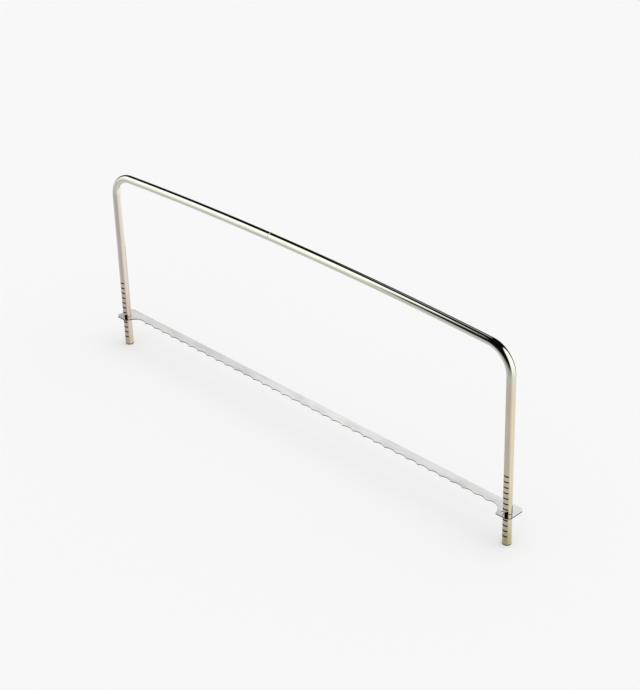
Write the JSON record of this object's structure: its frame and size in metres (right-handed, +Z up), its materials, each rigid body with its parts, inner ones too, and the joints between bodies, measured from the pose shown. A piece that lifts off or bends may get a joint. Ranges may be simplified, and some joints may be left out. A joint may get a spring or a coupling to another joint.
{
  "type": "cake leveler",
  "caption": "U-shaped tube frame on two notched legs that carries a thin scalloped blade level at a chosen height, to cut a cake into even layers.",
  "frame": {"origin": "on the table, midway between the two feet, in the plane of the leg axes", "axes": "+X along the frame from one leg to the other, +Y away from the cutting edge towards the blade's back, +Z up"},
  "size_m": [0.4696, 0.0189, 0.1807],
  "materials": {
    "nickel_tube": "nickel plated steel, polished",
    "blade_steel": "stainless steel, polished",
    "spigot_steel": "turned",
    "plug_plastic": "moulded"
  },
  "bodies": {
    "frame": {"frame_left": "nickel_tube", "frame_right": "nickel_tube", "bar_spigot": "spigot_steel", "foot_plug_left": "plug_plastic", "foot_plug_right": "plug_plastic"},
    "blade": {"blade": "blade_steel"}
  },
  "joints": [
    {"name": "blade_height", "type": "slide", "parent": "frame", "child": "blade", "axis": [0, 0, 1], "range_m": [-0.02, 0.035]}
  ]
}
